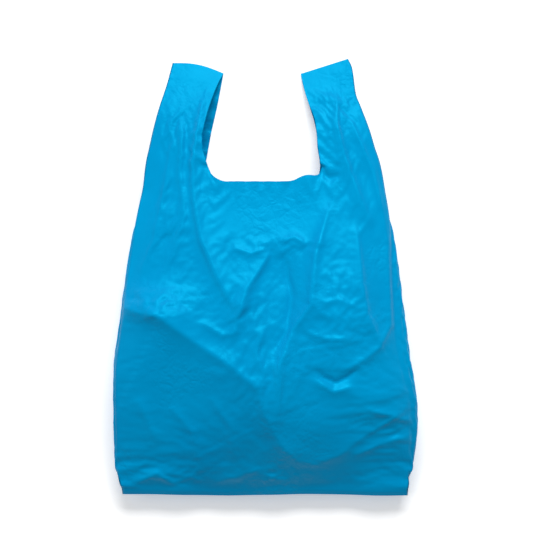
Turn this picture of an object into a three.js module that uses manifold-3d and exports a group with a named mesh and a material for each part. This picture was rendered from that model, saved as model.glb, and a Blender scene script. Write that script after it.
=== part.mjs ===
// A vest carrier bag of thin plastic film, lying on its back, slightly filled with air.
//
// The real bag is one piece. A tube of film is folded flat with a gusset pushed in at each side, welded
// straight across at the bottom and at the top, and a U is die-cut through all its plies, which leaves
// the mouth and the two handles. This program lays the same flat tube out as a lattice of film points,
// gives each point its place on the puffed-up bag, and turns the lattice into a thin closed wall.
//
// Millimetres. X runs across the bag, Y from the bottom weld towards the handles, Z up from the floor.
// A point of the flat film is (ply, x, t): x across the flat tube from its middle, t up from the weld.

import * as THREE from "three";
import { mergeVertices } from "three/addons/utils/BufferGeometryUtils.js";
import Module from "manifold-3d";

// The flat film.
const WIDTH = 330; // across the tube with its gussets folded in
const LENGTH = 540; // from the bottom weld to the handle welds
const GUSSET = 92; // how deep each side gusset is folded in
const CUT_DEPTH = 150; // of the U, from the handle welds down to the mouth
const CUT_CORNER = 24; // radius of the U's two lower corners
const HANDLE_ROOT = 88; // a handle's width where it leaves the mouth
const HANDLE_TOP = 59; // and at its weld
const WALL = 0.6; // the film, thickened to a wall that can be held as a solid
const PLY_PITCH = 1.2; // between the middles of two plies that lie on each other
const SKIRT = 5; // film left below the bottom weld
const WELD = 4; // how far a weld reaches along the film
const WELD_PROUD = 0.1; // how far a weld stands out of the plies that it joins

const HALF = WIDTH / 2;
const MOUTH = LENGTH - CUT_DEPTH;
const HANDLE_START = MOUTH + CUT_CORNER; // above this the U's sides are straight
const FLOOR_PLY = WALL / 2; // the middle of the ply that lies on the floor
const STACK = 3 * PLY_PITCH; // from the lowest ply's middle to the highest, where four plies are welded

// The front panel's middle line seen from the side, as (y, z), from the bottom weld to a handle's weld.
const WELD_HEIGHT = 26; // the bottom weld's middle above the floor
const FRONT_SIDE = new THREE.CatmullRomCurve3(
  [
    [SKIRT, WELD_HEIGHT + STACK / 2],
    [SKIRT + WELD, WELD_HEIGHT + STACK / 2],
    [12, 35],
    [18, 47],
    [31, 60],
    [60, 71],
    [104, 78],
    [148, 80],
    [212, 74],
    [288, 58],
    [362, 40],
    [430, 29],
    [478, 11],
    [499, FLOOR_PLY + STACK],
  ].map(([y, z]) => new THREE.Vector3(0, y, z)),
);
const BACK_LIFT = WELD_HEIGHT - STACK / 2 - FLOOR_PLY; // the back panel at the bottom weld, above its rest
const BACK_RISE = 24; // how far from the weld the back panel is down on the floor
const CROWN = 0.15; // how far the front panel falls towards its side folds, as a share of the bag's height

// Each side, seen from above, at stations along the film: [t, side fold, bend, gusset's inner fold]. A
// gusset's ply is a parabola from the side fold to the inner fold, and the bend is where its two end tangents
// meet: halfway between the folds while the gusset lies flat, and well outside them where it bulges.
const SIDE_STATIONS = [
  [0, 165, 119, 73],
  [WELD, 165, 119, 73],
  [20, 164, 140, 78],
  [48, 161, 186, 90],
  [85, 158, 208, 108],
  [130, 154, 205, 116],
  [200, 152, 196, 112],
  [260, 150, 177, 97],
  [325, 147, 142, 76],
  [MOUTH, 138, 92, 46],
  [LENGTH, 136, 91, 46],
];

// The handles lean in towards each other.
const LEAN = { left: 12.5, right: 16.5 }; // degrees
const LEAN_FROM = 352; // y where a handle starts to lean
const LEAN_RAMP = 40; // y that it takes to reach its full lean
const SPINE = 100; // a handle's middle line at its root, from the bag's middle

// The lattice.
const CENTRE_CELLS = 3; // from the middle to the start of the U's corner
const CORNER_CELLS = 3; // round the corner
const STRAP_CELLS = 5; // across a handle
const TURN = 6; // a gusset's first cell, at the side fold
const INNER_CELL = 90; // where its last cell starts, next to the inner fold
const LOW_ROWS = [0, WELD, 8, 12, 20, 28, 37, 48, 65, 90, 120, 150, 180];
const BODY_ROWS = [...LOW_ROWS, 210, 240, 270, 300, 330, 352, 372, MOUTH];
const HANDLE_ROWS = [HANDLE_START, 438, 454, 472, 490, 508, 522, LENGTH - WELD, LENGTH];
const ROUNDING_FROM = 300; // the body's rows start to bend towards the U's corners here

const { clamp, lerp, smoothstep, degToRad } = THREE.MathUtils;

/** A smooth function of t through stations [t, value, value, ...], for the value in that column. */
function through(stations, column) {
  const last = stations.length - 1;
  const slopeAt = (k) => {
    const before = stations[Math.max(k - 1, 0)];
    const after = stations[Math.min(k + 1, last)];
    return (after[column] - before[column]) / (after[0] - before[0]);
  };
  return (t) => {
    const next = stations.findIndex(([station]) => station > t);
    const i = next < 0 ? last - 1 : Math.max(next - 1, 0);
    const [from, to] = [stations[i], stations[i + 1]];
    const span = to[0] - from[0];
    const u = clamp((t - from[0]) / span, 0, 1);
    const eased = u * u * (3 - 2 * u);
    return (
      lerp(from[column], to[column], eased) +
      span * u * (1 - u) * ((1 - u) * slopeAt(i) - u * slopeAt(i + 1))
    );
  };
}

const sideFoldAt = through(SIDE_STATIONS, 1);
const bendAt = through(SIDE_STATIONS, 2);
const innerFoldAt = through(SIDE_STATIONS, 3);

/** A handle's width in the flat film at t. */
function handleWidth(t) {
  return lerp(HANDLE_ROOT, HANDLE_TOP, clamp((t - HANDLE_START) / (LENGTH - HANDLE_START), 0, 1));
}

/** How far the U's edge has risen above the mouth, at x across the flat film. */
function cornerRise(x) {
  const start = HALF - HANDLE_ROOT - CUT_CORNER;
  const across = clamp(Math.abs(x) - start, 0, CUT_CORNER);
  return CUT_CORNER - Math.sqrt(CUT_CORNER ** 2 - across ** 2);
}

/** The bag's side view at t: its y, the panels' heights, and their directions into the bag, as (y, z). */
function sideViewAt(t) {
  const at = clamp(t / LENGTH, 0, 1);
  const { y, z: top } = FRONT_SIDE.getPointAt(at);
  const tangent = FRONT_SIDE.getTangentAt(at);
  const down = 1 - clamp((y - SKIRT - WELD) / BACK_RISE, 0, 1);
  const back = FLOOR_PLY + BACK_LIFT * down ** 2;
  const slope = (-2 * BACK_LIFT * down) / BACK_RISE;
  const drop = CROWN * (top - back - STACK);
  return {
    y,
    top,
    back,
    drop,
    sideFold: top - drop,
    frontInwards: new THREE.Vector2(tangent.z, -tangent.y).normalize(),
    backInwards: new THREE.Vector2(-slope, 1).normalize(),
  };
}

/** How far a gusset's plies have settled against their own strap: from 0 in the body to 1 in the handle. */
function partedAt(t) {
  return smoothstep(t, MOUTH - 20, MOUTH + 90);
}

/** Leans a point of the upper bag in towards the middle, as the handles do. */
function leaned(x, y, z) {
  const side = Math.sign(x);
  const weight = smoothstep(Math.abs(x), 45, 75);
  const past = Math.max(0, y - LEAN_FROM);
  const angle = degToRad(side < 0 ? LEAN.left : LEAN.right) * Math.min(1, past / LEAN_RAMP) * weight;
  const shift = past < LEAN_RAMP ? past ** 2 / (2 * LEAN_RAMP) : past - LEAN_RAMP / 2;
  const offset = x - side * SPINE;
  return new THREE.Vector3(
    side * SPINE + offset * Math.cos(angle) - side * shift * Math.sin(angle),
    LEAN_FROM + Math.min(y - LEAN_FROM, 0) + past * Math.cos(angle) + side * offset * Math.sin(angle),
    z,
  );
}

/** A point of the front or back panel. */
function panelPoint(isFront, x, t) {
  const view = sideViewAt(t);
  const width = sideFoldAt(t) / HALF;
  const inHandle = clamp((t - HANDLE_START) / (LENGTH - HANDLE_START), 0, 1);
  const across = (Math.abs(x) - HALF) * lerp(width, 1, inHandle) + sideFoldAt(t);
  const z = isFront ? view.top - view.drop * (x / HALF) ** 2 : view.back;
  return leaned(t > HANDLE_START ? Math.sign(x) * across : x * width, view.y, z);
}

/** A point of a gusset's ply, depth in from the bag's side fold, bent round the bag's outline. */
function gussetPoint(side, isFront, depth, t) {
  const view = sideViewAt(t);
  const u = depth / GUSSET;
  const across = (1 - u) ** 2 * sideFoldAt(t) + 2 * u * (1 - u) * bendAt(t) + u ** 2 * innerFoldAt(t);
  const inwards = isFront ? view.frontInwards : view.backInwards;
  const start = (isFront ? view.sideFold : view.back) + inwards.y * PLY_PITCH;
  const middle = (view.sideFold + view.back + (isFront ? PLY_PITCH : -PLY_PITCH)) / 2;
  const z = lerp(start, lerp(middle, start, partedAt(t)), u);
  return leaned(side * across, view.y + inwards.x * PLY_PITCH * (1 - u), z);
}

/** The film's columns round the tube: front panel, right gusset, back panel and left gusset. */
function tubeColumns() {
  const start = HALF - HANDLE_ROOT - CUT_CORNER;
  const steps = (count, from, to) => Array.from({ length: count }, (_, i) => lerp(from, to, i / count));
  const right = [
    ...steps(CENTRE_CELLS, 0, start),
    ...steps(CORNER_CELLS, start, HALF - HANDLE_ROOT),
    ...steps(STRAP_CELLS, HALF - HANDLE_ROOT, HALF),
    HALF,
  ];
  const panel = [...right.slice(1).reverse().map((x) => -x), ...right];
  const depths = [0, TURN, ...steps(STRAP_CELLS, 0, HANDLE_ROOT).slice(1), HANDLE_ROOT, INNER_CELL, GUSSET];
  const gusset = (side, isFront) =>
    depths.map((depth) => ({ isGusset: true, side, isFront, x: HALF - depth }));
  return [
    ...panel.map((x) => ({ isFront: true, x })),
    ...gusset(1, true),
    ...gusset(1, false).reverse(),
    ...panel.map((x) => ({ isFront: false, x })).reverse(),
    ...gusset(-1, false),
    ...gusset(-1, true).reverse(),
  ];
}

/** A lattice point's film coordinates: the rows bend up to follow the U, and the straps narrow upwards. */
function filmAt(column, row) {
  const inHandle = row > MOUTH;
  const bending = clamp((row - ROUNDING_FROM) / (MOUTH - ROUNDING_FROM), 0, 1) ** 2;
  const t = inHandle ? row : row + cornerRise(column.x) * bending;
  const narrow = inHandle ? handleWidth(t) / HANDLE_ROOT : 1;
  const depth = (HALF - Math.abs(column.x)) * narrow;
  return { t, depth, x: Math.sign(column.x) * (HALF - depth) };
}

/** The place of a lattice point on the puffed-up bag. */
function filmPoint(column, row) {
  const { t, depth, x } = filmAt(column, row);
  const { isGusset, isFront, side } = column;
  return isGusset ? gussetPoint(side, isFront, depth, t) : panelPoint(isFront, x, t);
}

/** The lattice of the whole film: points[row][column], and isFilm for the cell above and beside a point. */
function filmLattice() {
  const columns = tubeColumns();
  const rows = [...BODY_ROWS, ...HANDLE_ROWS.slice(1)];
  const points = rows.map((row) => columns.map((column) => filmPoint(column, row)));
  const inStrap = (column) => Math.abs(column.x) >= HALF - HANDLE_ROOT;
  const isFilm = (r, c) =>
    rows[r + 1] <= MOUTH || (inStrap(columns[c]) && inStrap(columns[(c + 1) % columns.length]));
  return { points, columns: columns.length, rows: rows.length, isFilm };
}

/** Thickens a lattice of film points into one closed wall, half to each side. */
function wallOf({ points, columns, rows, isFilm }) {
  const normals = points.map((row) => row.map(() => new THREE.Vector3()));
  const cells = [];
  for (let r = 0; r < rows - 1; r++) {
    for (let c = 0; c < columns; c++) {
      if (!isFilm(r, c)) continue;
      const next = (c + 1) % columns;
      const corners = [[r, c], [r, next], [r + 1, next], [r + 1, c]];
      const [p, q, s, t] = corners.map(([i, j]) => points[i][j]);
      const normal = s.clone().sub(p).cross(t.clone().sub(q)).normalize();
      corners.forEach(([i, j]) => normals[i][j].add(normal));
      cells.push(corners);
    }
  }
  normals.flat().forEach((normal) => normal.setLength(WALL / 2));
  const outer = ([r, c]) => points[r][c].clone().add(normals[r][c]);
  const inner = ([r, c]) => points[r][c].clone().sub(normals[r][c]);
  const key = ([r, c]) => r * columns + c;
  const position = [];
  const quad = (...corners) => position.push(...trianglesOf(corners));
  const openEdges = new Map();
  for (const corners of cells) {
    const [a, b, c, d] = corners;
    quad(outer(a), outer(b), outer(c), outer(d));
    quad(inner(a), inner(d), inner(c), inner(b));
    corners.forEach((from, i) => {
      const to = corners[(i + 1) % 4];
      const isShared = openEdges.delete(`${key(to)} ${key(from)}`);
      if (!isShared) openEdges.set(`${key(from)} ${key(to)}`, [from, to]);
    });
  }
  for (const [from, to] of openEdges.values()) quad(outer(to), outer(from), inner(from), inner(to));
  return position;
}

/** The coordinates of the two triangles of a four-sided face, split from its first corner to its third. */
function trianglesOf([a, b, c, d]) {
  return [a, b, c, a, c, d].flatMap((p) => p.toArray());
}

/** A closed slab between a lower and an upper row of points at each of its two ends. */
function slabOf(sections) {
  const position = [];
  const quad = (...corners) => position.push(...trianglesOf(corners));
  const ring = ({ low, high }) => [low[0], low[1], high[1], high[0]];
  for (let i = 0; i < sections.length - 1; i++) {
    const [a, b] = [ring(sections[i]), ring(sections[i + 1])];
    for (let k = 0; k < 4; k++) quad(a[k], a[(k + 1) % 4], b[(k + 1) % 4], b[k]);
  }
  quad(...ring(sections[0]).reverse());
  quad(...ring(sections[sections.length - 1]));
  return position;
}

/** The weld across the bottom, with the skirt of film below it. */
function bottomWeld() {
  const low = WELD_HEIGHT - STACK / 2 - WALL / 2 - WELD_PROUD;
  const high = WELD_HEIGHT + STACK / 2 + WALL / 2 + WELD_PROUD;
  const at = (x, y, z) => new THREE.Vector3(x, y, z);
  const inner = SKIRT + WELD / 2;
  return slabOf(
    [-HALF - WALL, HALF + WALL].map((x) => ({
      low: [at(x, 0, low), at(x, inner, low)],
      high: [at(x, 0, high), at(x, inner, high)],
    })),
  );
}

/** The weld across a handle's top, through the plies of both its straps. */
function handleWeld(side) {
  const ends = [HALF - HANDLE_TOP - WALL, HALF + WALL];
  const [from, to] = side > 0 ? ends : ends.map((x) => -x).reverse();
  const point = (isFront, x, t, past, raise) =>
    panelPoint(isFront, x, t).add(new THREE.Vector3(0, past, raise));
  const under = WELD_PROUD / 2 - WALL / 2;
  const over = WALL / 2 + WELD_PROUD;
  return slabOf(
    Array.from({ length: STRAP_CELLS + 1 }, (_, i) => {
      const x = lerp(from, to, i / STRAP_CELLS);
      return {
        low: [point(false, x, LENGTH - WELD / 2, 0, under), point(false, x, LENGTH, 1, under)],
        high: [point(true, x, LENGTH - WELD / 2, 0, over), point(true, x, LENGTH, 1, over)],
      };
    }),
  );
}

const wasm = await Module();
wasm.setup();

function solidOf(position) {
  const merged = mergeVertices(
    new THREE.BufferGeometry().setAttribute("position", new THREE.Float32BufferAttribute(position, 3)),
  );
  return new wasm.Manifold(
    new wasm.Mesh({
      numProp: 3,
      vertProperties: merged.attributes.position.array,
      triVerts: new Uint32Array(merged.index.array),
    }),
  );
}

function geometryOf(solid) {
  const mesh = solid.getMesh();
  return new THREE.BufferGeometry()
    .setAttribute("position", new THREE.BufferAttribute(mesh.vertProperties, 3))
    .setIndex(new THREE.BufferAttribute(mesh.triVerts, 1));
}

/** The whole bag, with its origin in the middle of its outline, on the floor. */
function bagGeometry() {
  const bag = [bottomWeld(), handleWeld(-1), handleWeld(1)].reduce(
    (joined, weld) => joined.add(solidOf(weld)),
    solidOf(wallOf(filmLattice())),
  );
  const geometry = geometryOf(bag);
  geometry.computeBoundingBox();
  const middle = geometry.boundingBox.getCenter(new THREE.Vector3());
  return geometry.translate(-middle.x, -middle.y, -geometry.boundingBox.min.z);
}

const film = new THREE.MeshStandardMaterial({ color: 0x009fd8, roughness: 0.42, metalness: 0 });
const bag = new THREE.Mesh(bagGeometry(), film);
bag.name = "carrier_bag";

const part = new THREE.Group();
part.add(bag);

export default part;
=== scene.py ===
"""A vest carrier bag of thin blue film, lying on its back on a pale floor, as it looks.

The film is a lattice over the flat tube. Its rows run from the bottom weld to the handle welds, and its
columns once round the tube, over the front panel, the right gusset, the back panel and the left gusset. The
lattice is laid on the puffed-up shape, the main folds are pressed into the front panel, and then the film
finds its own creases: every stretch of it is drawn towards the length it has in the flat film, first on a
coarse lattice and then on finer ones.

Metres in the scene, millimetres in the tables. X runs across the bag, Y from the bottom weld to the
handles, Z up. A place on the flat film is x across it from its middle line and t up it from the bottom weld.
"""

import math

import bpy
import numpy as np
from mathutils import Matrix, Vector


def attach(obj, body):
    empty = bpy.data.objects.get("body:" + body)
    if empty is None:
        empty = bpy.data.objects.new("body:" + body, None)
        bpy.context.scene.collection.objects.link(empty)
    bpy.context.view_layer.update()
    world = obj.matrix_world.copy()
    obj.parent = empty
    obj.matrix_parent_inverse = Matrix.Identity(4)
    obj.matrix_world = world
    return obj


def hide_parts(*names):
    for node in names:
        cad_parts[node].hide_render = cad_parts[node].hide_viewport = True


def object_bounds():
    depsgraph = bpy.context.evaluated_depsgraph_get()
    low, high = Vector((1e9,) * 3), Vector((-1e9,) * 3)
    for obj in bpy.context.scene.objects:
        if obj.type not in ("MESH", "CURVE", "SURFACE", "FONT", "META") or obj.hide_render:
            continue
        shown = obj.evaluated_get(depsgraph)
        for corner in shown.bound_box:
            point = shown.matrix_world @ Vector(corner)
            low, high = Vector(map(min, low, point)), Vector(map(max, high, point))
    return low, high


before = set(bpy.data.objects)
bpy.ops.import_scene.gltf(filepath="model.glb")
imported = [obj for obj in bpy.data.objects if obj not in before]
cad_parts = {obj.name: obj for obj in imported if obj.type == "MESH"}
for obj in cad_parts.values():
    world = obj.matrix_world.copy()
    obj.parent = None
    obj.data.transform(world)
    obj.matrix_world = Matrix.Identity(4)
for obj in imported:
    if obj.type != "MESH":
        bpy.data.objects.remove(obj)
CAD_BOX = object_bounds()

MM = 0.001
TINY = 0.001 * MM  # lengths that differ by less are equal

# The camera looks straight down.
CAMERA_HEIGHT = 2.5
VIEW_HALF_WIDTH = 0.3185  # of what the camera sees, in a level plane through the middle of the bag
VIEW_MIDDLE = (0.0138, 0.0)
MIDDLE_HEIGHT = 0.04
SENSOR = 36


def make_camera():
    data = bpy.data.cameras.new("camera")
    data.sensor_width = SENSOR
    data.lens = SENSOR * (CAMERA_HEIGHT - MIDDLE_HEIGHT) / (2 * VIEW_HALF_WIDTH)
    camera = bpy.data.objects.new("camera", data)
    camera.location = (*VIEW_MIDDLE, CAMERA_HEIGHT)
    bpy.context.scene.collection.objects.link(camera)
    bpy.context.scene.camera = camera


make_camera()

# The flat film, as it is cut.
WIDTH = 330 * MM
LENGTH = 540 * MM
GUSSET = 92 * MM
CUT_DEPTH = 150 * MM
CUT_CORNER = 24 * MM
HANDLE_ROOT = 88 * MM
HANDLE_TOP = 59 * MM
SKIRT = 5 * MM
WELD = 4 * MM

HALF = WIDTH / 2
MOUTH = LENGTH - CUT_DEPTH
HANDLE_START = MOUTH + CUT_CORNER
CORNER_END = HALF - HANDLE_ROOT  # x where the cut's corner meets the handle's inner edge
CORNER_START = CORNER_END - CUT_CORNER
EDGE_Y = CAD_BOX[0][1]  # where the skirt's cut edge lies; side-view distances count from here

# How many cells the finest lattice has, each about 2.4 mm of film.
CENTRE_CELLS = 20
CORNER_CELLS = 8
STRAP_CELLS = 36
BODY_CELLS = 160
HANDLE_CELLS = 52
SKIRT_CELLS = 4
ROUNDING_FROM = 300 * MM  # the rows start to bend up towards the cut's corners here


def clamp01(value):
    return np.clip(value, 0.0, 1.0)


def smoothstep(value, low, high):
    u = clamp01((value - low) / (high - low))
    return u * u * (3 - 2 * u)


def lerp(a, b, share):
    return a + (b - a) * share


def through(stations, column):
    """A smooth function through rows of stations (at, value, value, ...), for the values in that column."""
    table = np.array(stations, float)
    at, value = table[:, 0] * MM, table[:, column] * MM
    slope = np.empty_like(value)
    slope[1:-1] = (value[2:] - value[:-2]) / (at[2:] - at[:-2])
    slope[0] = (value[1] - value[0]) / (at[1] - at[0])
    slope[-1] = (value[-1] - value[-2]) / (at[-1] - at[-2])

    def evaluate(t):
        i = np.clip(np.searchsorted(at, t, side="right") - 1, 0, len(at) - 2)
        span = at[i + 1] - at[i]
        u = clamp01((t - at[i]) / span)
        eased = u * u * (3 - 2 * u)
        bow = span * u * (1 - u) * ((1 - u) * slope[i] - u * slope[i + 1])
        return lerp(value[i], value[i + 1], eased) + bow

    return evaluate


# ---------------------------------------------------------------------------------------------------------
# The puffed-up shape. All stations are in millimetres.

# The panels' middle lines in side view, as (y from the skirt's edge, height), from weld to weld.
FRONT = [
    (5, 26.6), (9, 28.2), (20, 33), (36, 41), (60, 52), (104, 66), (150, 72),
    (212, 67.5), (288, 54), (359, 39), (430, 27), (480, 10), (499, 2.6),
]  # fmt: skip
BACK = [
    (5, 25.4), (9, 25), (14, 18), (22, 9), (36, 2.5), (60, 0.6), (200, 0.5), (359, 0.5),
    (430, 0.6), (480, 0.7), (499, 1.2),
]  # fmt: skip
# Each side seen from above: t, side fold's x, outline's x, gusset's inner fold's x, all counted outwards.
LEFT = [
    (-5, 165, 165, 73), (4, 166, 166.5, 73), (10, 168, 170, 75), (20, 170, 171.5, 80),
    (48, 171, 172.5, 95), (85, 171, 172.5, 110), (130, 171.5, 172.5, 118), (165, 170.5, 171.8, 116),
    (200, 166, 167.3, 112), (260, 159.3, 160.3, 97), (325, 150.6, 151.3, 79), (345, 147.6, 148.2, 74),
    (360, 144.8, 145.2, 71), (390, 139.5, 140, 68), (450, 138.5, 139, 68), (480, 137.3, 138, 68),
    (510, 135, 135.5, 68), (540, 134.2, 134.6, 68),
]  # fmt: skip
RIGHT = [
    (-5, 165, 165, 73), (4, 165.5, 166, 73), (10, 166.5, 167.5, 75), (20, 166, 168.5, 80),
    (48, 166, 171, 92), (85, 167, 173.5, 108), (110, 166, 173.5, 112), (130, 163, 171.5, 112),
    (165, 154, 166, 110), (200, 148, 161.5, 108), (260, 145, 154.5, 94), (325, 144.5, 147, 73),
    (345, 143, 144.5, 68), (360, 141, 141.5, 65), (390, 136.3, 137, 62), (416, 133.5, 134, 62),
    (448, 132.5, 133, 62), (480, 129.5, 130, 62), (497, 128, 129, 62), (527, 131.4, 132, 62),
    (540, 129.4, 130, 62),
]  # fmt: skip
# Where the film that is cut for a handle's inner edge lies: t, front ply's x, back ply's x.
LEFT_INNER = [
    (-5, 77, 77), (4, 77, 77), (48, 75, 75), (130, 72, 72), (260, 70, 72), (360, 67, 76), (390, 63, 80),
    (414, 67.5, 78), (426, 74, 74), (446, 82, 74), (470, 83, 74.2), (500, 81, 73), (525, 77, 73),
    (540, 73.5, 73.5),
]  # fmt: skip
RIGHT_INNER = [
    (-5, 77, 77), (4, 77, 77), (48, 75, 75), (130, 71, 71), (260, 68, 69), (360, 65, 70), (390, 65, 73),
    (408, 66.5, 71), (442, 70, 70), (464, 74, 74), (481, 75.4, 75), (507, 72, 73), (527, 69.6, 70),
    (540, 70.6, 70.6),
]  # fmt: skip
CROWN = 0.12  # how far the front falls towards its side folds, as a share of the bag's height
ROLL = 0.14  # and how much more it rolls over close to them
LEAN = {-1: math.radians(11.6), 1: math.radians(14.5)}  # of the left and the right handle, inwards
SPINE = {-1: 103 * MM, 1: 99.5 * MM}  # a handle's middle line at its root, from the bag's middle
LEAN_FROM = 352 * MM
LEAN_RAMP = 40 * MM
LEAN_BETWEEN = (45 * MM, 75 * MM)  # how far out from the middle the lean starts, and where it is full
SKIRT_FALL = 0.7  # how steeply the skirt hangs from the bottom weld
PUFFED = (1 * MM, 30 * MM)  # the gussets bulge out more and more between these rows
FLATTENED = (320 * MM, MOUTH)  # and flatten again between these
PARTED = (MOUTH - 20 * MM, MOUTH + 60 * MM)  # their plies part between these, to follow their panels
PLY_GAP = 0.6 * MM  # between a parted gusset ply and its panel
PLY_GAP_RAMP = 6 * MM  # how far in from the side fold that gap is full


def along(points):
    """The curve through points of a side view, as functions y and z of how far along the film t is."""
    gaps = np.hypot(*np.diff(np.array(points, float), axis=0).T)
    at = np.concatenate([[0], np.cumsum(gaps)])
    stations = [(a, y, z) for a, (y, z) in zip(at, points)]
    fine = np.linspace(0, at[-1], 2000) * MM
    y, z = through(stations, 1)(fine), through(stations, 2)(fine)
    length = np.concatenate([[0], np.cumsum(np.hypot(np.diff(y), np.diff(z)))])
    share = length / length[-1] * LENGTH
    return (
        lambda t: np.interp(t, share, y) + np.minimum(t, 0),
        lambda t: np.interp(t, share, z) + SKIRT_FALL * np.minimum(t, 0),
    )


front_y, front_z = along(FRONT)
back_y, back_z = along(BACK)
side_fold = {-1: through(LEFT, 1), 1: through(RIGHT, 1)}
outline = {-1: through(LEFT, 2), 1: through(RIGHT, 2)}
inner_fold = {-1: through(LEFT, 3), 1: through(RIGHT, 3)}
front_inner_edge = {-1: through(LEFT_INNER, 1), 1: through(RIGHT_INNER, 1)}
back_inner_edge = {-1: through(LEFT_INNER, 2), 1: through(RIGHT_INNER, 2)}


def by_side(functions, right, t):
    return np.where(right, functions[1](t), functions[-1](t))


def inner_edge(right, t, is_front):
    """Where the film that is cut for a handle's inner edge lies, out from the middle."""
    return np.where(is_front, by_side(front_inner_edge, right, t), by_side(back_inner_edge, right, t))


def front_drop(x, height):
    """How far the front panel has fallen at x across the flat film, in a bag of this height."""
    share = np.abs(x) / HALF
    return height * (CROWN * share**2 + ROLL * share**8)


def cut_rise(x):
    """How far the die cut's edge has risen above the mouth at x across the flat film."""
    across = np.clip(np.abs(x) - CORNER_START, 0, CUT_CORNER)
    return CUT_CORNER - np.sqrt(CUT_CORNER**2 - across**2)


def strap_width(t):
    return lerp(HANDLE_ROOT, HANDLE_TOP, clamp01((t - HANDLE_START) / (LENGTH - HANDLE_START)))


def leaned(x, y):
    """Leans the upper bag's points in towards the middle, as the handles do."""
    side = np.where(x < 0, -1.0, 1.0)
    spine = side * np.where(x < 0, SPINE[-1], SPINE[1])
    weight = smoothstep(np.abs(x), *LEAN_BETWEEN)
    past = np.maximum(0, y - LEAN_FROM)
    angle = np.where(x < 0, LEAN[-1], LEAN[1]) * np.minimum(1, past / LEAN_RAMP) * weight
    shift = np.where(past < LEAN_RAMP, past**2 / (2 * LEAN_RAMP), past - LEAN_RAMP / 2)
    offset = x - spine
    return (
        spine + offset * np.cos(angle) - side * shift * np.sin(angle),
        np.minimum(y, LEAN_FROM) + past * np.cos(angle) + side * offset * np.sin(angle),
    )


def panel_points(x, t, is_front):
    """Where points of the front and back panels lie."""
    right = x >= 0
    fold = by_side(side_fold, right, t)
    edge = inner_edge(right, t, is_front)
    flat_edge = HALF - strap_width(t)
    in_strap = clamp01((np.abs(x) - flat_edge) / (HALF - flat_edge))
    across = np.where(np.abs(x) > flat_edge, lerp(edge, fold, in_strap), edge * np.abs(x) / flat_edge)
    y = np.where(is_front, front_y(t), back_y(t))
    top, back = front_z(t), back_z(t)
    drop = front_drop(x, top - back)
    plan_x, plan_y = leaned(np.where(right, 1, -1) * across, y)
    return np.stack([plan_x, plan_y, np.where(is_front, top - drop, back)], axis=-1)


def gusset_points(side, depth, t, is_front):
    """Where points of a gusset's plies lie, depth in from the side fold."""
    right = side > 0
    fold = by_side(side_fold, right, t)
    widest = by_side(outline, right, t)
    inner = by_side(inner_fold, right, t)
    loose = smoothstep(t, *PUFFED) * (1 - smoothstep(t, *FLATTENED))
    bulged = widest + np.sqrt(np.maximum(0, (widest - fold) * (widest - inner)))
    bend = lerp((fold + inner) / 2, bulged, loose)
    u = depth / GUSSET
    bag = (1 - u) ** 2 * fold + 2 * u * (1 - u) * bend + u**2 * inner
    edge = inner_edge(right, t, is_front)
    strap = fold - (fold - edge) * depth / strap_width(t)
    parted = smoothstep(t, *PARTED)
    across = lerp(bag, strap, parted)
    y = np.where(is_front, front_y(t), back_y(t))
    top, back = front_z(t), back_z(t)
    shoulder = top - front_drop(HALF, top - back)
    start = np.where(is_front, shoulder, back)
    lying = np.where(is_front, top - front_drop(HALF - depth, top - back), back)
    own = lying + np.where(is_front, -PLY_GAP, PLY_GAP) * smoothstep(depth, 0, PLY_GAP_RAMP)
    middle = (shoulder + back) / 2
    own = lerp(own, middle, smoothstep(depth, HANDLE_ROOT, GUSSET))
    z = lerp(lerp(start, middle, u), own, parted)
    middle_y = (front_y(t) + back_y(t)) / 2
    plan_x, plan_y = leaned(side * across, lerp(y, middle_y, u * (1 - parted)))
    return np.stack([plan_x, plan_y, z], axis=-1)


# ---------------------------------------------------------------------------------------------------------
# The lattice.


def steps(low, high, count):
    return np.linspace(low, high, count, endpoint=False)


def film_columns(coarse):
    """For each column round the tube: x on the flat tube, depth into a gusset, which side, which ply."""
    inner = steps(0, CORNER_START, CENTRE_CELLS // coarse)
    corner = steps(CORNER_START, CORNER_END, CORNER_CELLS // coarse)
    strap = steps(CORNER_END, HALF, STRAP_CELLS // coarse)
    right = np.concatenate([inner, corner, strap, [HALF]])
    panel = np.concatenate([-right[:0:-1], right])
    depth = np.append(np.linspace(0, HANDLE_ROOT, STRAP_CELLS // coarse + 1), GUSSET)
    rows = [(x, 0.0, 0, 1) for x in panel]
    rows += [(HALF - d, d, 1, 1) for d in depth[1:]]
    rows += [(HALF - d, d, 1, 0) for d in depth[-2:0:-1]]
    rows += [(x, 0.0, 0, 0) for x in panel[::-1]]
    rows += [(d - HALF, d, -1, 0) for d in depth[1:]]
    rows += [(d - HALF, d, -1, 1) for d in depth[-2:0:-1]]
    return np.array(rows).T


def film_rows(coarse):
    return np.concatenate(
        [
            steps(-SKIRT, 0, SKIRT_CELLS // coarse),
            steps(0, MOUTH, BODY_CELLS // coarse),
            [MOUTH],
            np.linspace(HANDLE_START, LENGTH, HANDLE_CELLS // coarse + 1)[1:],
        ]
    )


# The bottom weld's waves: height and length over a radian, in millimetres, and start.
WELD_WAVES = [(1.6, 21, 1), (1.0, 9, 0)]
WELD_WAVES_FADE = 40 * MM

# How the film is pulled out of the even layout, in millimetres.
MOUTH_BAND = (350, 388, 396, 440)  # the mouth is pulled between these rows, fully between the middle two
MOUTH_LIFT, MOUTH_LIFT_AT, MOUTH_LIFT_WIDTH = 7.6, 48, 12  # the front's lift at the right corner
BACK_MOUTH_DROP = 6
HANDLE_TOPS = (490, 538)  # the handles' tops are pulled between these rows
LEFT_TOP_BOW, LEFT_TOP_FROM, LEFT_TOP_ACROSS = 4.0, -107, 57.5
RIGHT_TOP_RISE, RIGHT_TOP_TILT, RIGHT_TOP_MIDDLE = 3.5, 0.06, 68
HEM_WAVE, HEM_WAVE_LENGTH, HEM_WAVE_FADE = 0.8, 31, 30


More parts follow.
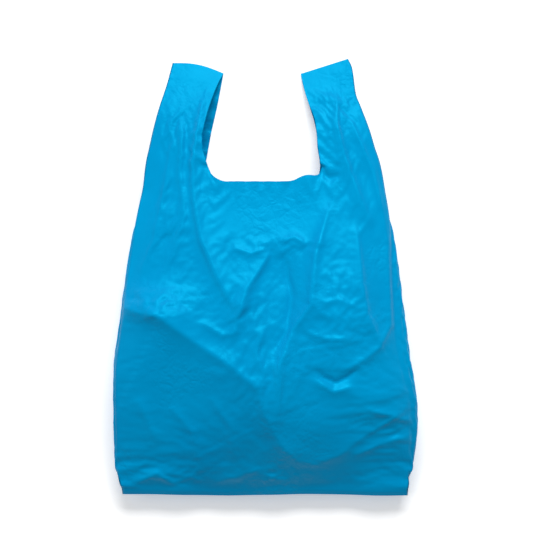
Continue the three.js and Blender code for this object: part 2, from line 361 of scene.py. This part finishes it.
class Film:
    """The lattice: flat coordinates of every point, and which cells between the points are film."""

    def __init__(self, coarse):
        self.coarse = coarse
        x, depth, side, is_front = film_columns(coarse)
        rows = film_rows(coarse)
        row = rows[:, None] * np.ones_like(x)
        in_handle = row > MOUTH
        bending = clamp01((row - ROUNDING_FROM) / (MOUTH - ROUNDING_FROM)) ** 2
        self.t = np.where(in_handle, row, row + cut_rise(x) * bending)
        narrow = np.where(in_handle, strap_width(self.t) / HANDLE_ROOT, 1.0)
        self.side = np.broadcast_to(side, row.shape)
        self.is_front = np.broadcast_to(is_front > 0, row.shape)
        self.depth = np.where(side != 0, depth * narrow, 0.0)
        self.x = np.sign(x) * (HALF - (HALF - np.abs(x)) * narrow)
        self.shape = row.shape
        in_strap = np.abs(x) >= CORNER_END - TINY
        both = in_strap & np.roll(in_strap, -1)
        self.cells = (rows[1:, None] <= MOUTH + TINY) | both[None, :]
        self.is_creased = (np.abs(np.abs(x) - HALF) < TINY) | (np.abs(depth - GUSSET) < TINY)

    def place(self):
        """The points on the puffed-up shape."""
        panel = panel_points(self.x, self.t, self.is_front)
        gusset = gusset_points(self.side, self.depth, self.t, self.is_front)
        points = np.where((self.side == 0)[..., None], panel, gusset)
        x = points[..., 0] / MM
        points[..., 1] += EDGE_Y + self.pulled(x) * MM
        waves = sum(height * np.sin(x / length + start) for height, length, start in WELD_WAVES)
        points[..., 2] += waves * MM * (1 - smoothstep(self.t, 0, WELD_WAVES_FADE))
        return points

    def pulled(self, x):
        """How far the film is pulled up or down from the even layout, in millimetres, at x on the plan."""
        t = self.t / MM
        low, full, still_full, high = MOUTH_BAND
        at_mouth = smoothstep(t, low, full) * (1 - smoothstep(t, still_full, high)) * (self.side == 0)
        lift = MOUTH_LIFT * np.exp(-(((x - MOUTH_LIFT_AT) / MOUTH_LIFT_WIDTH) ** 2))
        mouth = np.where(self.is_front, lift, -BACK_MOUTH_DROP)
        at_top = smoothstep(t, *HANDLE_TOPS)
        along_weld = (x - LEFT_TOP_FROM) / LEFT_TOP_ACROSS
        left_top = LEFT_TOP_BOW * np.sin(math.pi * clamp01(along_weld)) * (x < 0)
        right_top = (RIGHT_TOP_RISE + RIGHT_TOP_TILT * (x - RIGHT_TOP_MIDDLE)) * (x > 0)
        hem = HEM_WAVE * np.sin(x / HEM_WAVE_LENGTH) * (1 - smoothstep(t, 0, HEM_WAVE_FADE))
        return at_mouth * mouth + (left_top + right_top) * at_top + hem

    def flat_gap(self, a, b):
        """How far two nearby points of the lattice are apart in the flat film."""
        side, x, depth, t = (part.reshape(-1) for part in (self.side, self.x, self.depth, self.t))
        across_a = np.where(side[a] == 0, np.abs(x[a]), HALF + depth[a])
        across_b = np.where(side[b] == 0, np.abs(x[b]), HALF + depth[b])
        centre = (side[a] == 0) & (side[b] == 0)
        across = np.where(centre, x[a] - x[b], across_a - across_b)
        return np.hypot(across, t[a] - t[b])


# ---------------------------------------------------------------------------------------------------------
# The folds that were pressed into the front panel by handling, in millimetres on the floor plan.


NOISE_REPEAT = 64
FACET_REPEAT = 32


def gradient_noise(x, y, seed):
    """Smooth noise between about -0.7 and 0.7, one feature to a unit."""
    angle = np.random.RandomState(seed).uniform(0, 2 * math.pi, (NOISE_REPEAT, NOISE_REPEAT))
    x0, y0 = np.floor(x).astype(int), np.floor(y).astype(int)
    u, v = x - x0, y - y0

    def corner(i, j):
        turn = angle[(x0 + i) % NOISE_REPEAT, (y0 + j) % NOISE_REPEAT]
        return np.cos(turn) * (u - i) + np.sin(turn) * (v - j)

    su, sv = u * u * (3 - 2 * u), v * v * (3 - 2 * v)
    return lerp(lerp(corner(0, 0), corner(1, 0), su), lerp(corner(0, 1), corner(1, 1), su), sv)


def creased(x, y, seed, octaves=3):
    """Noise that is smooth between sharp creases, as in crumpled film."""
    total = np.zeros_like(x)
    for octave in range(octaves):
        scale = 1.9**octave
        total += (0.35 - np.abs(gradient_noise(x * scale, y * scale, seed + octave))) / scale
    return total


FACET_SHIFT = 0.35  # how far a facet's centre may lie off the middle of its square
FACET_SHARPNESS = 9


def facets(x, y, seed):
    """Flat facets, one to a unit, that meet along creases, between about -0.5 and 0.5."""
    draw = np.random.RandomState(seed).uniform(-1, 1, (FACET_REPEAT, FACET_REPEAT, 5))
    i, j = np.floor(x).astype(int), np.floor(y).astype(int)
    total, weight = np.zeros_like(x), np.zeros_like(x)
    for di in (-1, 0, 1):
        for dj in (-1, 0, 1):
            facet = draw[(i + di) % FACET_REPEAT, (j + dj) % FACET_REPEAT]
            shift_x, shift_y, tilt_x, tilt_y, height = np.moveaxis(facet, -1, 0)
            dx = x - (i + di + 0.5 + FACET_SHIFT * shift_x)
            dy = y - (j + dj + 0.5 + FACET_SHIFT * shift_y)
            share = np.exp(-FACET_SHARPNESS * (dx * dx + dy * dy))
            total += share * (0.45 * (tilt_x * dx + tilt_y * dy) + 0.3 * height)
            weight += share
    return total / weight


def route(points, x, y):
    """For points near a polyline: how far along it, as a share, and the signed distance to its left."""
    points = np.array(points, float)
    lengths = np.hypot(*np.diff(points, axis=0).T)
    before = np.concatenate([[0], np.cumsum(lengths)])
    nearest = np.full(x.shape, 1e9)
    along, left = np.zeros_like(x), np.zeros_like(x)
    for (ax, ay), (bx, by), length, start in zip(points, points[1:], lengths, before):
        dx, dy = (bx - ax) / length, (by - ay) / length
        ahead = (x - ax) * dx + (y - ay) * dy
        on = np.clip(ahead, 0, length)
        gap = np.hypot(x - ax - on * dx, y - ay - on * dy)
        sign = np.where((y - ay) * dx - (x - ax) * dy >= 0, 1.0, -1.0)
        closer = gap < nearest
        nearest = np.where(closer, gap, nearest)
        left = np.where(closer, gap * sign, left)
        along = np.where(closer, (start + ahead) / before[-1], along)
    return along, left


def crease(x, y, points, height, left_width, right_width, taper=0.25):
    """A crease: full height along its line, falling away to each side, and tapering off at its ends."""
    along, left = route(points, x, y)
    width = np.where(left > 0, left_width, right_width)
    ends = smoothstep(along, -taper, taper) * smoothstep(-along, -1 - taper, -1 + taper)
    return height * np.exp(-np.abs(left) / width) * ends


def turned(x, y, degrees):
    """x and y along axes that are turned by so many degrees."""
    c, s = math.cos(math.radians(degrees)), math.sin(math.radians(degrees))
    return x * c + y * s, y * c - x * s


def outness(x, y, centre, radii, turn):
    """The square of how far out points are in an ellipse: 0 at its centre and 1 on its edge."""
    u, v = turned(x - centre[0], y - centre[1], turn)
    return (u / radii[0]) ** 2 + (v / radii[1]) ** 2


def lobe(x, y, centre, radii, height, turn=0):
    """A soft round swelling."""
    return height * np.exp(-outness(x, y, centre, radii, turn))


# Each fold: its line, its height, and how wide it is to its left and to its right.
FOLDS = [
    ([(-160, -36), (-121, -46), (-76, -76), (-38, -101), (-7, -127), (3, -163), (24, -203)], 14, 30, 60),
    ([(-172, -34), (-121, -44), (-84, -68)], 4, 14, 24),
    ([(66, 118), (76, 114), (86, 117)], -2.5, 3, 3),
    ([(-72, 205), (-80, 165), (-84, 130), (-83, 93), (-74, 44), (-55, 0), (-40, -28)], 5.5, 16, 5),
    ([(-95, 170), (-98, 120), (-92, 70), (-106, 20)], 3.0, 5, 6),
    ([(-108, 150), (-116, 95), (-128, 40), (-141, 8)], 2.6, 6, 4),
    ([(4, 24), (-20, -14), (-34, -60)], 4.5, 5, 11),
    ([(-3, -62), (-10, -86), (-6, -100)], 2.8, 4, 5),
    ([(72, 75), (57, 24), (52, -32), (31, -60), (17, -100), (14, -163)], 6.0, 14, 7),
    ([(22, 20), (30, -20), (26, -60), (10, -84)], -5.5, 12, 10),
    ([(106, 51), (112, -8), (117, -42), (131, -73)], 4.2, 5, 14),
    ([(126, 130), (141, 37), (144, -55), (131, -80), (113, -94), (96, -104)], 3.6, 4, 6),
    ([(60, -108), (66, -114), (80, -120), (94, -114), (104, -106)], -4.0, 3, 3),
    ([(58, -118), (78, -130), (98, -125)], 3.6, 3, 6),
    ([(17, -190), (37, -211), (58, -215), (86, -204), (107, -187)], 6.0, 26, 12),
    ([(104, -204), (134, -190), (170, -180)], 3.2, 4, 6),
    ([(106, -187), (140, -166), (160, -152)], 3.0, 5, 4),
    ([(118, -150), (142, -158), (166, -164)], 2.8, 4, 5),
    ([(84, 205), (84, 175), (92, 140), (104, 106), (120, 65)], 4.5, 6, 16),
    ([(100, 180), (122, 128), (134, 80)], 2.4, 4, 5),
    ([(-150, -240), (-124, -225), (-100, -246)], 3.4, 4, 6),
    ([(-58, -236), (-10, -225), (8, -229), (31, -242)], 2.4, 6, 8),
    ([(-144, -142), (-124, -190)], 2.8, 8, 6),
    ([(-106, -150), (-84, -176), (-76, -206)], 2.4, 7, 5),
    ([(-60, -140), (-40, -170), (-36, -205)], 2.0, 7, 5),
    ([(-36, 33), (-16, 27), (4, 34)], 2.4, 3, 3),
    ([(17, 40), (34, 46), (46, 38)], 2.2, 3, 3),
    ([(52, -64), (74, -72), (96, -70)], 1.8, 4, 4),
    ([(60, -30), (84, -26), (104, -34)], 1.6, 4, 4),
    ([(-70, -52), (-48, -66), (-30, -62)], 2.4, 4, 5),
]
# Round swellings and hollows: centre, radii, height, and the way they run.
LOBES = [
    ((88, -40), (34, 66), 6, 0),
    ((60, -172), (34, 34), 5, 0),
    ((-90, -125), (56, 70), -9, -35),
    ((10, 76), (56, 34), -3, 0),
    ((-118, -36), (36, 16), 6, -20),
    ((4, -5), (22, 40), -4, 0),
    ((120, -140), (34, 24), 4, 20),
]
# Patches of crumpled film: centre, radii, height, size of a facet across and along, and the way they run.
PATCHES = [
    ((-118, -30), (36, 18), 10, 9, 14, -25),
    ((-112, 60), (30, 62), 3.6, 7, 22, 66),
    ((2, -108), (40, 48), 5.5, 7, 20, 80),
    ((-20, -40), (34, 34), 5.0, 8, 20, 60),
    ((90, -60), (50, 60), 3.0, 9, 20, 10),
    ((140, -168), (44, 34), 5.5, 7, 22, 12),
    ((-95, -230), (70, 20), 6.0, 9, 16, 0),
    ((20, -234), (80, 16), 6.0, 9, 16, 0),
    ((20, 36), (52, 12), 4.0, 6, 10, 10),
    ((-60, -190), (70, 44), 2.6, 11, 26, -40),
    ((105, 110), (30, 60), 2.2, 7, 26, 75),
    ((-90, 140), (24, 70), 2.0, 7, 30, 100),
    ((75, 200), (30, 16), 2.6, 5, 8, 20),
]
# Stretches where the film is taut: centre, radii, the way they run, and how taut.
TAUT = [
    ((6, 72), (70, 36), 0, 1.0),
    ((-92, 214), (34, 30), 0, 0.9),
    ((-100, -135), (56, 62), -35, 0.6),
    ((130, 20), (18, 90), 8, 0.7),
    ((60, -172), (34, 34), 0, 0.5),
    ((-134, 70), (12, 66), -10, 0.7),
    ((88, 56), (26, 40), 0, 0.7),
    ((-60, 58), (24, 40), 0, 0.5),
    ((90, 120), (22, 44), 0, 0.5),
]


def tautness(x, y):
    """How taut the front panel's film is, from 0 to 1."""
    total = np.zeros_like(x)
    for centre, radii, turn, share in TAUT:
        total = np.maximum(total, share * np.exp(-(outness(x, y, centre, radii, turn) ** 2)))
    return total


PATCH_SEED = 40
PATCH_FACET_SEED = 70
PANEL_SEED = 7
PANEL_FACET_SEED = 9


def relief(points):
    """The height that the folds add at points of the front panel."""
    x, y = points[..., 0] / MM, points[..., 1] / MM
    total = np.zeros_like(x)
    for line, height, left_width, right_width in FOLDS:
        total += crease(x, y, line, height, left_width, right_width)
    for centre, radii, height, turn in LOBES:
        total += lobe(x, y, centre, radii, height, turn)
    for number, (centre, radii, height, across, along, turn) in enumerate(PATCHES):
        u, v = turned(x, y, turn)
        u, v = u / along, v / across
        crumpled = 0.5 * creased(u, v, PATCH_SEED + number, 4)
        crumpled += 0.6 * facets(0.6 * u, 0.6 * v, PATCH_FACET_SEED + number)
        total += lobe(x, y, centre, radii, height) * crumpled
    wrinkled = 0.5 * creased(x / 30, y / 42, PANEL_SEED) + 1.4 * facets(x / 38, y / 52, PANEL_FACET_SEED)
    return (total + (1 - tautness(x, y)) * wrinkled) * MM


CALM_WELD = (1 * MM, 20 * MM)  # the welds hold the film flat: it is free to crumple past these rows
CALM_HANDLE_WELD = (500 * MM, 534 * MM)
GUSSET_SEED, GUSSET_STREAK_SEED, BACK_SEED = 90, 95, 60
GUSSET_CRUMPLED_TO = 330 * MM  # the gussets crumple up to this row, and less and less from it to the mouth
BACK_WRINKLE = 3 * MM


def pressed(film, points):
    """The laid-out points with the folds pressed into the front panel and crumples into the rest."""
    points = points.copy()
    t, side = film.t, film.side
    calm = smoothstep(t, *CALM_WELD) * (1 - smoothstep(t, *CALM_HANDLE_WELD))
    front = film.is_front & (side == 0)
    back = (~film.is_front) & (side == 0)
    points[..., 2] += np.where(front, relief(points) * calm, 0)
    u, v = film.depth / MM, t / MM
    crumple = creased(u / 22, v / 30, GUSSET_SEED) * 2 + creased(u / 10 + v / 60, v / 26, GUSSET_STREAK_SEED)
    room = np.sin(np.pi * clamp01(film.depth / GUSSET)) * (1 - smoothstep(t, GUSSET_CRUMPLED_TO, MOUTH))
    points[..., 0] += side * crumple * room * calm * MM
    wrinkle = np.abs(creased(film.x / MM / 40, v / 34, BACK_SEED)) * BACK_WRINKLE * calm
    points[..., 2] += np.where(back, wrinkle, 0)
    return points


# ---------------------------------------------------------------------------------------------------------
# Letting the film find its creases.

STACK_GAP = 0.5 * MM  # plies that lie on each other are at least this far apart
CLEARLY_APART = 2 * MM  # plies further apart than this keep their own way apart, and others go up and down
FLOOR_GAP = 0.3 * MM
SLACK = 0.16  # how much of its spare length the film takes up, against the laid-out shape
NEVER_ZERO = 1e-9  # the least length that is divided by
SHEAR = 0.35  # how stiff the film is along its cells' diagonals, against 1 along their sides


class Solver:
    """Draws every stretch of film back to its flat length, keeps the plies in order, and off the floor."""

    def __init__(self, film, points, target, bending):
        self.film = film
        self.points = points.reshape(-1, 3).copy()
        self.target = target.reshape(-1, 3)
        taut = tautness(target[..., 0] / MM, target[..., 1] / MM)
        self.slack = (SLACK * (1 - taut * (film.is_front & (film.side == 0)))).reshape(-1)
        rows, columns = film.shape
        index = np.arange(rows * columns).reshape(rows, columns)
        cells = film.cells
        padded = np.zeros((rows + 1, columns), bool)
        padded[1:-1] = cells
        across = padded[:-1] | padded[1:]  # whether a point and its right-hand neighbour are film
        up = cells | np.roll(cells, 1, axis=1)  # whether a point and the one above it are
        self.used = (across | np.roll(across, 1, axis=1)).reshape(-1)
        self.sets = []  # a set holds stretches that share no point, so they can all be drawn back at once
        right = np.roll(index, -1, axis=1)
        for parity in (0, 1):
            self.add(self.sets, index, right, across & self.every(2, parity, 1), 1.0)
            self.add(self.sets, index[:-1], index[1:], up & self.every(2, parity, 0)[:-1], 1.0)
            for row_parity in (0, 1):
                picked = cells & (self.every(2, parity, 1) & self.every(2, row_parity, 0))[:-1]
                self.add(self.sets, index[:-1], right[1:], picked, SHEAR)
                self.add(self.sets, right[:-1], index[1:], picked, SHEAR)
        self.flexed = []  # stretches over two cells, which only push apart, and so keep the film from kinking
        left = np.roll(index, 1, axis=1)
        both = across & np.roll(across, 1, axis=1) & ~film.is_creased
        for part in range(4):
            self.add(self.flexed, left, right, both & self.every(4, part, 1), bending)
            straight = up[:-1] & up[1:] & self.every(4, part, 0)[:-2]
            self.add(self.flexed, index[:-2], index[2:], straight, bending)
        self.stack(index)

    def every(self, count, start, axis):
        """Every so many of the rows (axis 0) or columns (axis 1) of the lattice, from start."""
        place = np.arange(self.film.shape[axis]) % count == start
        return np.broadcast_to(place[:, None] if axis == 0 else place[None, :], self.film.shape)

    def add(self, sets, a, b, picked, stiffness):
        """Adds a set of stretches of film, from points a to points b, and the length they are drawn to."""
        a, b = a[picked], b[picked]
        laid = np.linalg.norm(self.target[b] - self.target[a], axis=1)
        length = lerp(laid, self.film.flat_gap(a, b), self.slack[a])
        sets.append((a, b, length[:, None], stiffness))

    def stack(self, index):
        """Pairs up the points, lower and upper, of plies that lie over each other."""
        coarse = self.film.coarse
        panel = 2 * (CENTRE_CELLS + CORNER_CELLS + STRAP_CELLS) // coarse
        gusset = STRAP_CELLS // coarse + 1
        front = index[:, : panel + 1]
        right_front = index[:, panel : panel + gusset + 1]
        right_back = index[:, panel + gusset : panel + 2 * gusset + 1][:, ::-1]
        back = index[:, panel + 2 * gusset : 2 * panel + 2 * gusset + 1][:, ::-1]
        left = np.concatenate([index, index[:, :1]], axis=1)[:, 2 * panel + 2 * gusset :]
        left_back, left_front = left[:, : gusset + 1], left[:, gusset:][:, ::-1]
        pairs = [
            (right_front[:, 1:], front[:, -2 : -gusset - 2 : -1]),
            (right_back[:, 1:-1], right_front[:, 1:-1]),
            (back[:, -2 : -gusset - 2 : -1], right_back[:, 1:]),
            (left_front[:, 1:], front[:, 1 : gusset + 1]),
            (left_back[:, 1:-1], left_front[:, 1:-1]),
            (back[:, 1 : gusset + 1], left_back[:, 1:]),
            (back[:, gusset:-gusset], front[:, gusset:-gusset]),
        ]
        self.pairs = []
        for low, high in pairs:
            low, high = low.reshape(-1), high.reshape(-1)
            keep = self.used[low] & self.used[high]
            low, high = low[keep], high[keep]
            apart = self.points[high] - self.points[low]
            length = np.linalg.norm(apart, axis=1, keepdims=True)
            way = np.where(length > CLEARLY_APART, apart / np.maximum(length, NEVER_ZERO), [0.0, 0.0, 1.0])
            self.pairs.append((low, high, way))

    def run(self, rounds, hold, pinned):
        """The points after so many rounds of being drawn back, with the pinned ones left where they are."""
        p, target = self.points, self.target
        free = (~pinned)[:, None]
        for _ in range(rounds):
            p += hold * (target - p)
            for a, b, length, stiffness in self.flexed:
                apart = p[b] - p[a]
                now = np.sqrt((apart * apart).sum(1, keepdims=True))
                move = apart * (0.5 * stiffness * np.minimum(0, 1 - length / np.maximum(now, NEVER_ZERO)))
                p[a] += move
                p[b] -= move
            for a, b, length, stiffness in self.sets:
                apart = p[b] - p[a]
                now = np.sqrt((apart * apart).sum(1, keepdims=True))
                move = apart * (0.5 * stiffness * (1 - length / np.maximum(now, NEVER_ZERO)))
                p[a] += move
                p[b] -= move
            for low, high, way in self.pairs:
                gap = ((p[high] - p[low]) * way).sum(1, keepdims=True)
                push = way * (0.5 * np.maximum(0, STACK_GAP - gap))
                p[low] -= push
                p[high] += push
            np.maximum(p[:, 2], FLOOR_GAP, out=p[:, 2])
            p[:] = np.where(free, p, target)
        return p


def refined(values, shape):
    """Values of a coarse lattice on one of the given shape, as a smooth curve through rows and columns."""

    def finer(values, count, wraps):
        place = np.linspace(0, len(values) - (0 if wraps else 1), count, endpoint=not wraps)
        i = np.floor(place).astype(int)
        u = (place - i)[:, None, None]
        ends = "wrap" if wraps else "clip"
        before, here, after, beyond = (np.take(values, i + k, axis=0, mode=ends) for k in (-1, 0, 1, 2))
        bow = 2 * before - 5 * here + 4 * after - beyond + (3 * (here - after) + beyond - before) * u
        return here + 0.5 * u * (after - before + u * bow)

    rows = finer(values, shape[0], False)
    return finer(rows.transpose(1, 0, 2), shape[1], True).transpose(1, 0, 2)


# For each lattice: how coarse it is, how many rounds it is solved for, how firmly it is held to the shape
# that was laid out, and how stiffly it bends.
LEVELS = [(4, 120, 0.03, 0.1), (2, 120, 0.012, 0.15), (1, 90, 0.006, 0.12)]
PINNED = WELD + 0.5 * MM  # the welds keep their laid-out shape, this far in from the ends


def settled():
    """The lattice and its points, once the film has found its creases."""
    shift = None
    for coarse, rounds, hold, bending in LEVELS:
        film = Film(coarse)
        target = pressed(film, film.place())
        start = target if shift is None else target + refined(shift, film.shape)
        pinned = (film.t < PINNED) | (film.t > LENGTH - WELD)
        start = np.where(pinned[..., None], target, start)
        solver = Solver(film, start, target, bending)
        points = solver.run(rounds, hold, pinned.reshape(-1)).reshape(*film.shape, 3)
        shift = points - target
    return film, points


# ---------------------------------------------------------------------------------------------------------
# The bag, its film, the floor and the light.


def mesh_of(name, film, points):
    rows, columns = film.shape
    index = np.arange(rows * columns).reshape(rows, columns)
    right = np.roll(index, -1, axis=1)
    cells = film.cells
    quads = np.stack([index[:-1][cells], right[:-1][cells], right[1:][cells], index[1:][cells]], axis=1)
    used, compact = np.unique(quads, return_inverse=True)
    mesh = bpy.data.meshes.new(name)
    mesh.from_pydata(points[used].tolist(), [], compact.reshape(quads.shape).tolist())
    mesh.update()
    mesh.shade_smooth()
    piece = bpy.data.objects.new(name, mesh)
    bpy.context.scene.collection.objects.link(piece)
    return piece


DEEP_BLUE = (0.0, 0.245, 0.52)
CLEAR_BLUE = (0.0, 0.285, 0.58)
GLOSS_TINT = (0.0, 0.75, 1.0)


def film_material():
    """Satin film: two close blues, fine crumples, and a satin that varies where it has been creased."""
    material = bpy.data.materials.new("blue_film")
    material.use_nodes = True
    nodes, links = material.node_tree.nodes, material.node_tree.links
    shader = nodes["Principled BSDF"]
    shader.inputs["IOR"].default_value = 1.5
    shader.inputs["Specular IOR Level"].default_value = 0.38
    shader.inputs["Specular Tint"].default_value = (*GLOSS_TINT, 1)

    def node(kind, **values):
        made = nodes.new(kind)
        for name, value in values.items():
            setattr(made, name, value)
        return made

    def noise(scale, detail, source, output="Fac"):
        made = node("ShaderNodeTexNoise")
        made.inputs["Scale"].default_value = scale
        made.inputs["Detail"].default_value = detail
        links.new(source, made.inputs["Vector"])
        return made.outputs[output]

    def film_facets(scale, source):
        """Facets that rise from sharp creases."""
        made = node("ShaderNodeTexVoronoi", feature="DISTANCE_TO_EDGE")
        made.inputs["Scale"].default_value = scale
        links.new(source, made.inputs["Vector"])
        return made.outputs["Distance"]

    def maths(operation, a, b):
        made = node("ShaderNodeMath", operation=operation)
        for socket, value in zip(made.inputs, (a, b)):
            if isinstance(value, (int, float)):
                socket.default_value = value
            else:
                links.new(value, socket)
        return made.outputs["Value"]

    def ramp(value, low, high):
        made = node("ShaderNodeMapRange", clamp=True)
        made.inputs["From Min"].default_value = low
        made.inputs["From Max"].default_value = high
        links.new(value, made.inputs["Value"])
        return made.outputs["Result"]

    place = node("ShaderNodeTexCoord").outputs["Object"]
    creased_share = ramp(noise(14, 2, place), 0.48, 0.7)
    grain = noise(900, 1, place)

    # Crumples too fine for the mesh, on a place that is bent a little so that no crease is quite straight.
    bent = node("ShaderNodeVectorMath", operation="MULTIPLY_ADD")
    links.new(noise(35, 2, place, "Color"), bent.inputs[0])
    bent.inputs[1].default_value = (0.012, 0.012, 0.012)
    links.new(place, bent.inputs[2])
    coarse = film_facets(70, bent.outputs["Vector"])
    fine = film_facets(150, bent.outputs["Vector"])
    crumple = maths("ADD", coarse, maths("MULTIPLY", fine, 0.5))
    height = maths("MULTIPLY", crumple, maths("ADD", maths("MULTIPLY", creased_share, 0.8), 0.08))
    bump = node("ShaderNodeBump")
    bump.inputs["Strength"].default_value = 0.7
    bump.inputs["Distance"].default_value = 1.6 * MM
    links.new(maths("ADD", maths("MULTIPLY", grain, 0.006), height), bump.inputs["Height"])
    links.new(bump.outputs["Normal"], shader.inputs["Normal"])

    blues = node("ShaderNodeMix", data_type="RGBA")
    blues.inputs["A"].default_value = (*DEEP_BLUE, 1)
    blues.inputs["B"].default_value = (*CLEAR_BLUE, 1)
    links.new(ramp(noise(9, 3, place), 0.3, 0.7), blues.inputs["Factor"])
    links.new(blues.outputs["Result"], shader.inputs["Base Color"])
    rough = maths("ADD", maths("MULTIPLY", creased_share, 0.08), maths("MULTIPLY", grain, 0.06))
    links.new(maths("ADD", rough, 0.33), shader.inputs["Roughness"])
    return material


def make_bag():
    film, points = settled()
    bag = mesh_of("carrier_bag_film", film, points.reshape(-1, 3))
    bag.data.materials.append(film_material())
    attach(bag, "root")
    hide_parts("carrier_bag")


def floor_material():
    """Pale and matt, and lit enough by itself to stay white to its edges."""
    material = bpy.data.materials.new("pale_floor")
    material.use_nodes = True
    shader = material.node_tree.nodes["Principled BSDF"]
    shader.inputs["Base Color"].default_value = (0.9, 0.9, 0.9, 1)
    shader.inputs["Roughness"].default_value = 0.9
    shader.inputs["Emission Color"].default_value = (1, 1, 1, 1)
    shader.inputs["Emission Strength"].default_value = 0.3
    return material


def make_floor():
    bpy.ops.mesh.primitive_plane_add(size=6, location=(0, 0, 0))
    floor = bpy.context.object
    floor.name = "floor"
    floor.data.materials.append(floor_material())


def area_light(name, place, size, power, aim=(0, 0, MIDDLE_HEIGHT)):
    data = bpy.data.lights.new(name, "AREA")
    data.shape = "RECTANGLE"
    data.size, data.size_y = size
    data.energy = power
    light = bpy.data.objects.new(name, data)
    light.location = place
    way = Vector(aim) - Vector(place)
    light.rotation_euler = way.to_track_quat("-Z", "Y").to_euler()
    bpy.context.scene.collection.objects.link(light)


def make_light():
    """A large key light beyond the handles, a weak fill at the left, and an even pale surround."""
    area_light("key", (0.3, 2.55, 2.5), (2.0, 1.3), 122)
    area_light("fill", (-1.8, 0.3, 2.2), (1.6, 1.6), 12)
    world = bpy.data.worlds.new("studio")
    world.use_nodes = True
    background = world.node_tree.nodes["Background"]
    background.inputs["Color"].default_value = (1, 1, 1, 1)
    background.inputs["Strength"].default_value = 0.34
    bpy.context.scene.world = world
    bpy.context.scene.view_settings.view_transform = "Standard"


make_bag()
make_floor()
make_light()
